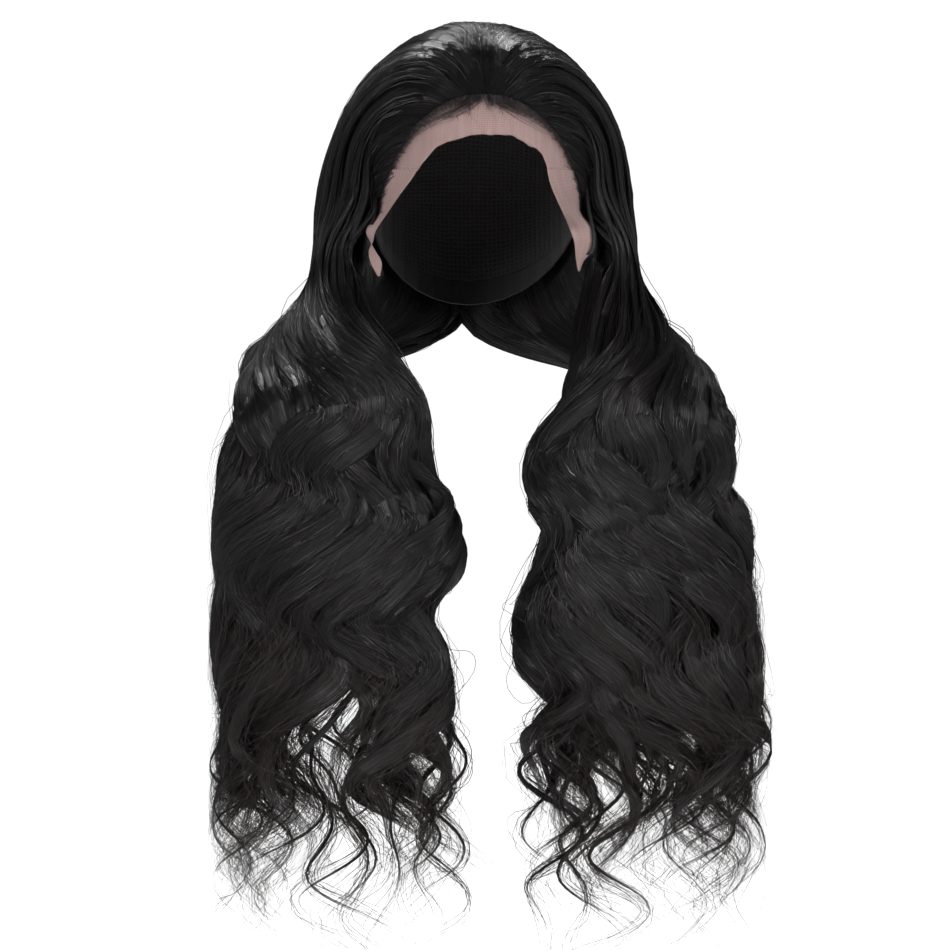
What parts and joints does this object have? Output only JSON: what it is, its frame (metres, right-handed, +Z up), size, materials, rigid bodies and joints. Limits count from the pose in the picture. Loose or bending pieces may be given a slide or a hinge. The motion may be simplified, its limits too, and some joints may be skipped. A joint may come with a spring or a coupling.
{
  "type": "lace front wig",
  "caption": "Long black body-wave wig on a lace front cap, swept back from the hairline and gathered into two waved lengths in front of the shoulders",
  "frame": {"origin": "inner face of the cap at the top of the crown, where it rests on a head", "axes": "+Z up, -Y the way the face looks, +X to the wearer's left"},
  "size_m": [0.3892, 0.2744, 0.6667],
  "materials": {
    "hair": "black human hair with a soft sheen",
    "lace": "fine light brown lace",
    "net": "dark stretch net",
    "elastic": "matt black elastic"
  },
  "bodies": {
    "root": {"lace_front": "lace", "ear_tab_left": "lace", "ear_tab_right": "lace", "net_cap": "net", "nape_band": "elastic", "crown_hair": "hair", "hair_left": "hair", "hair_right": "hair"}
  },
  "joints": []
}
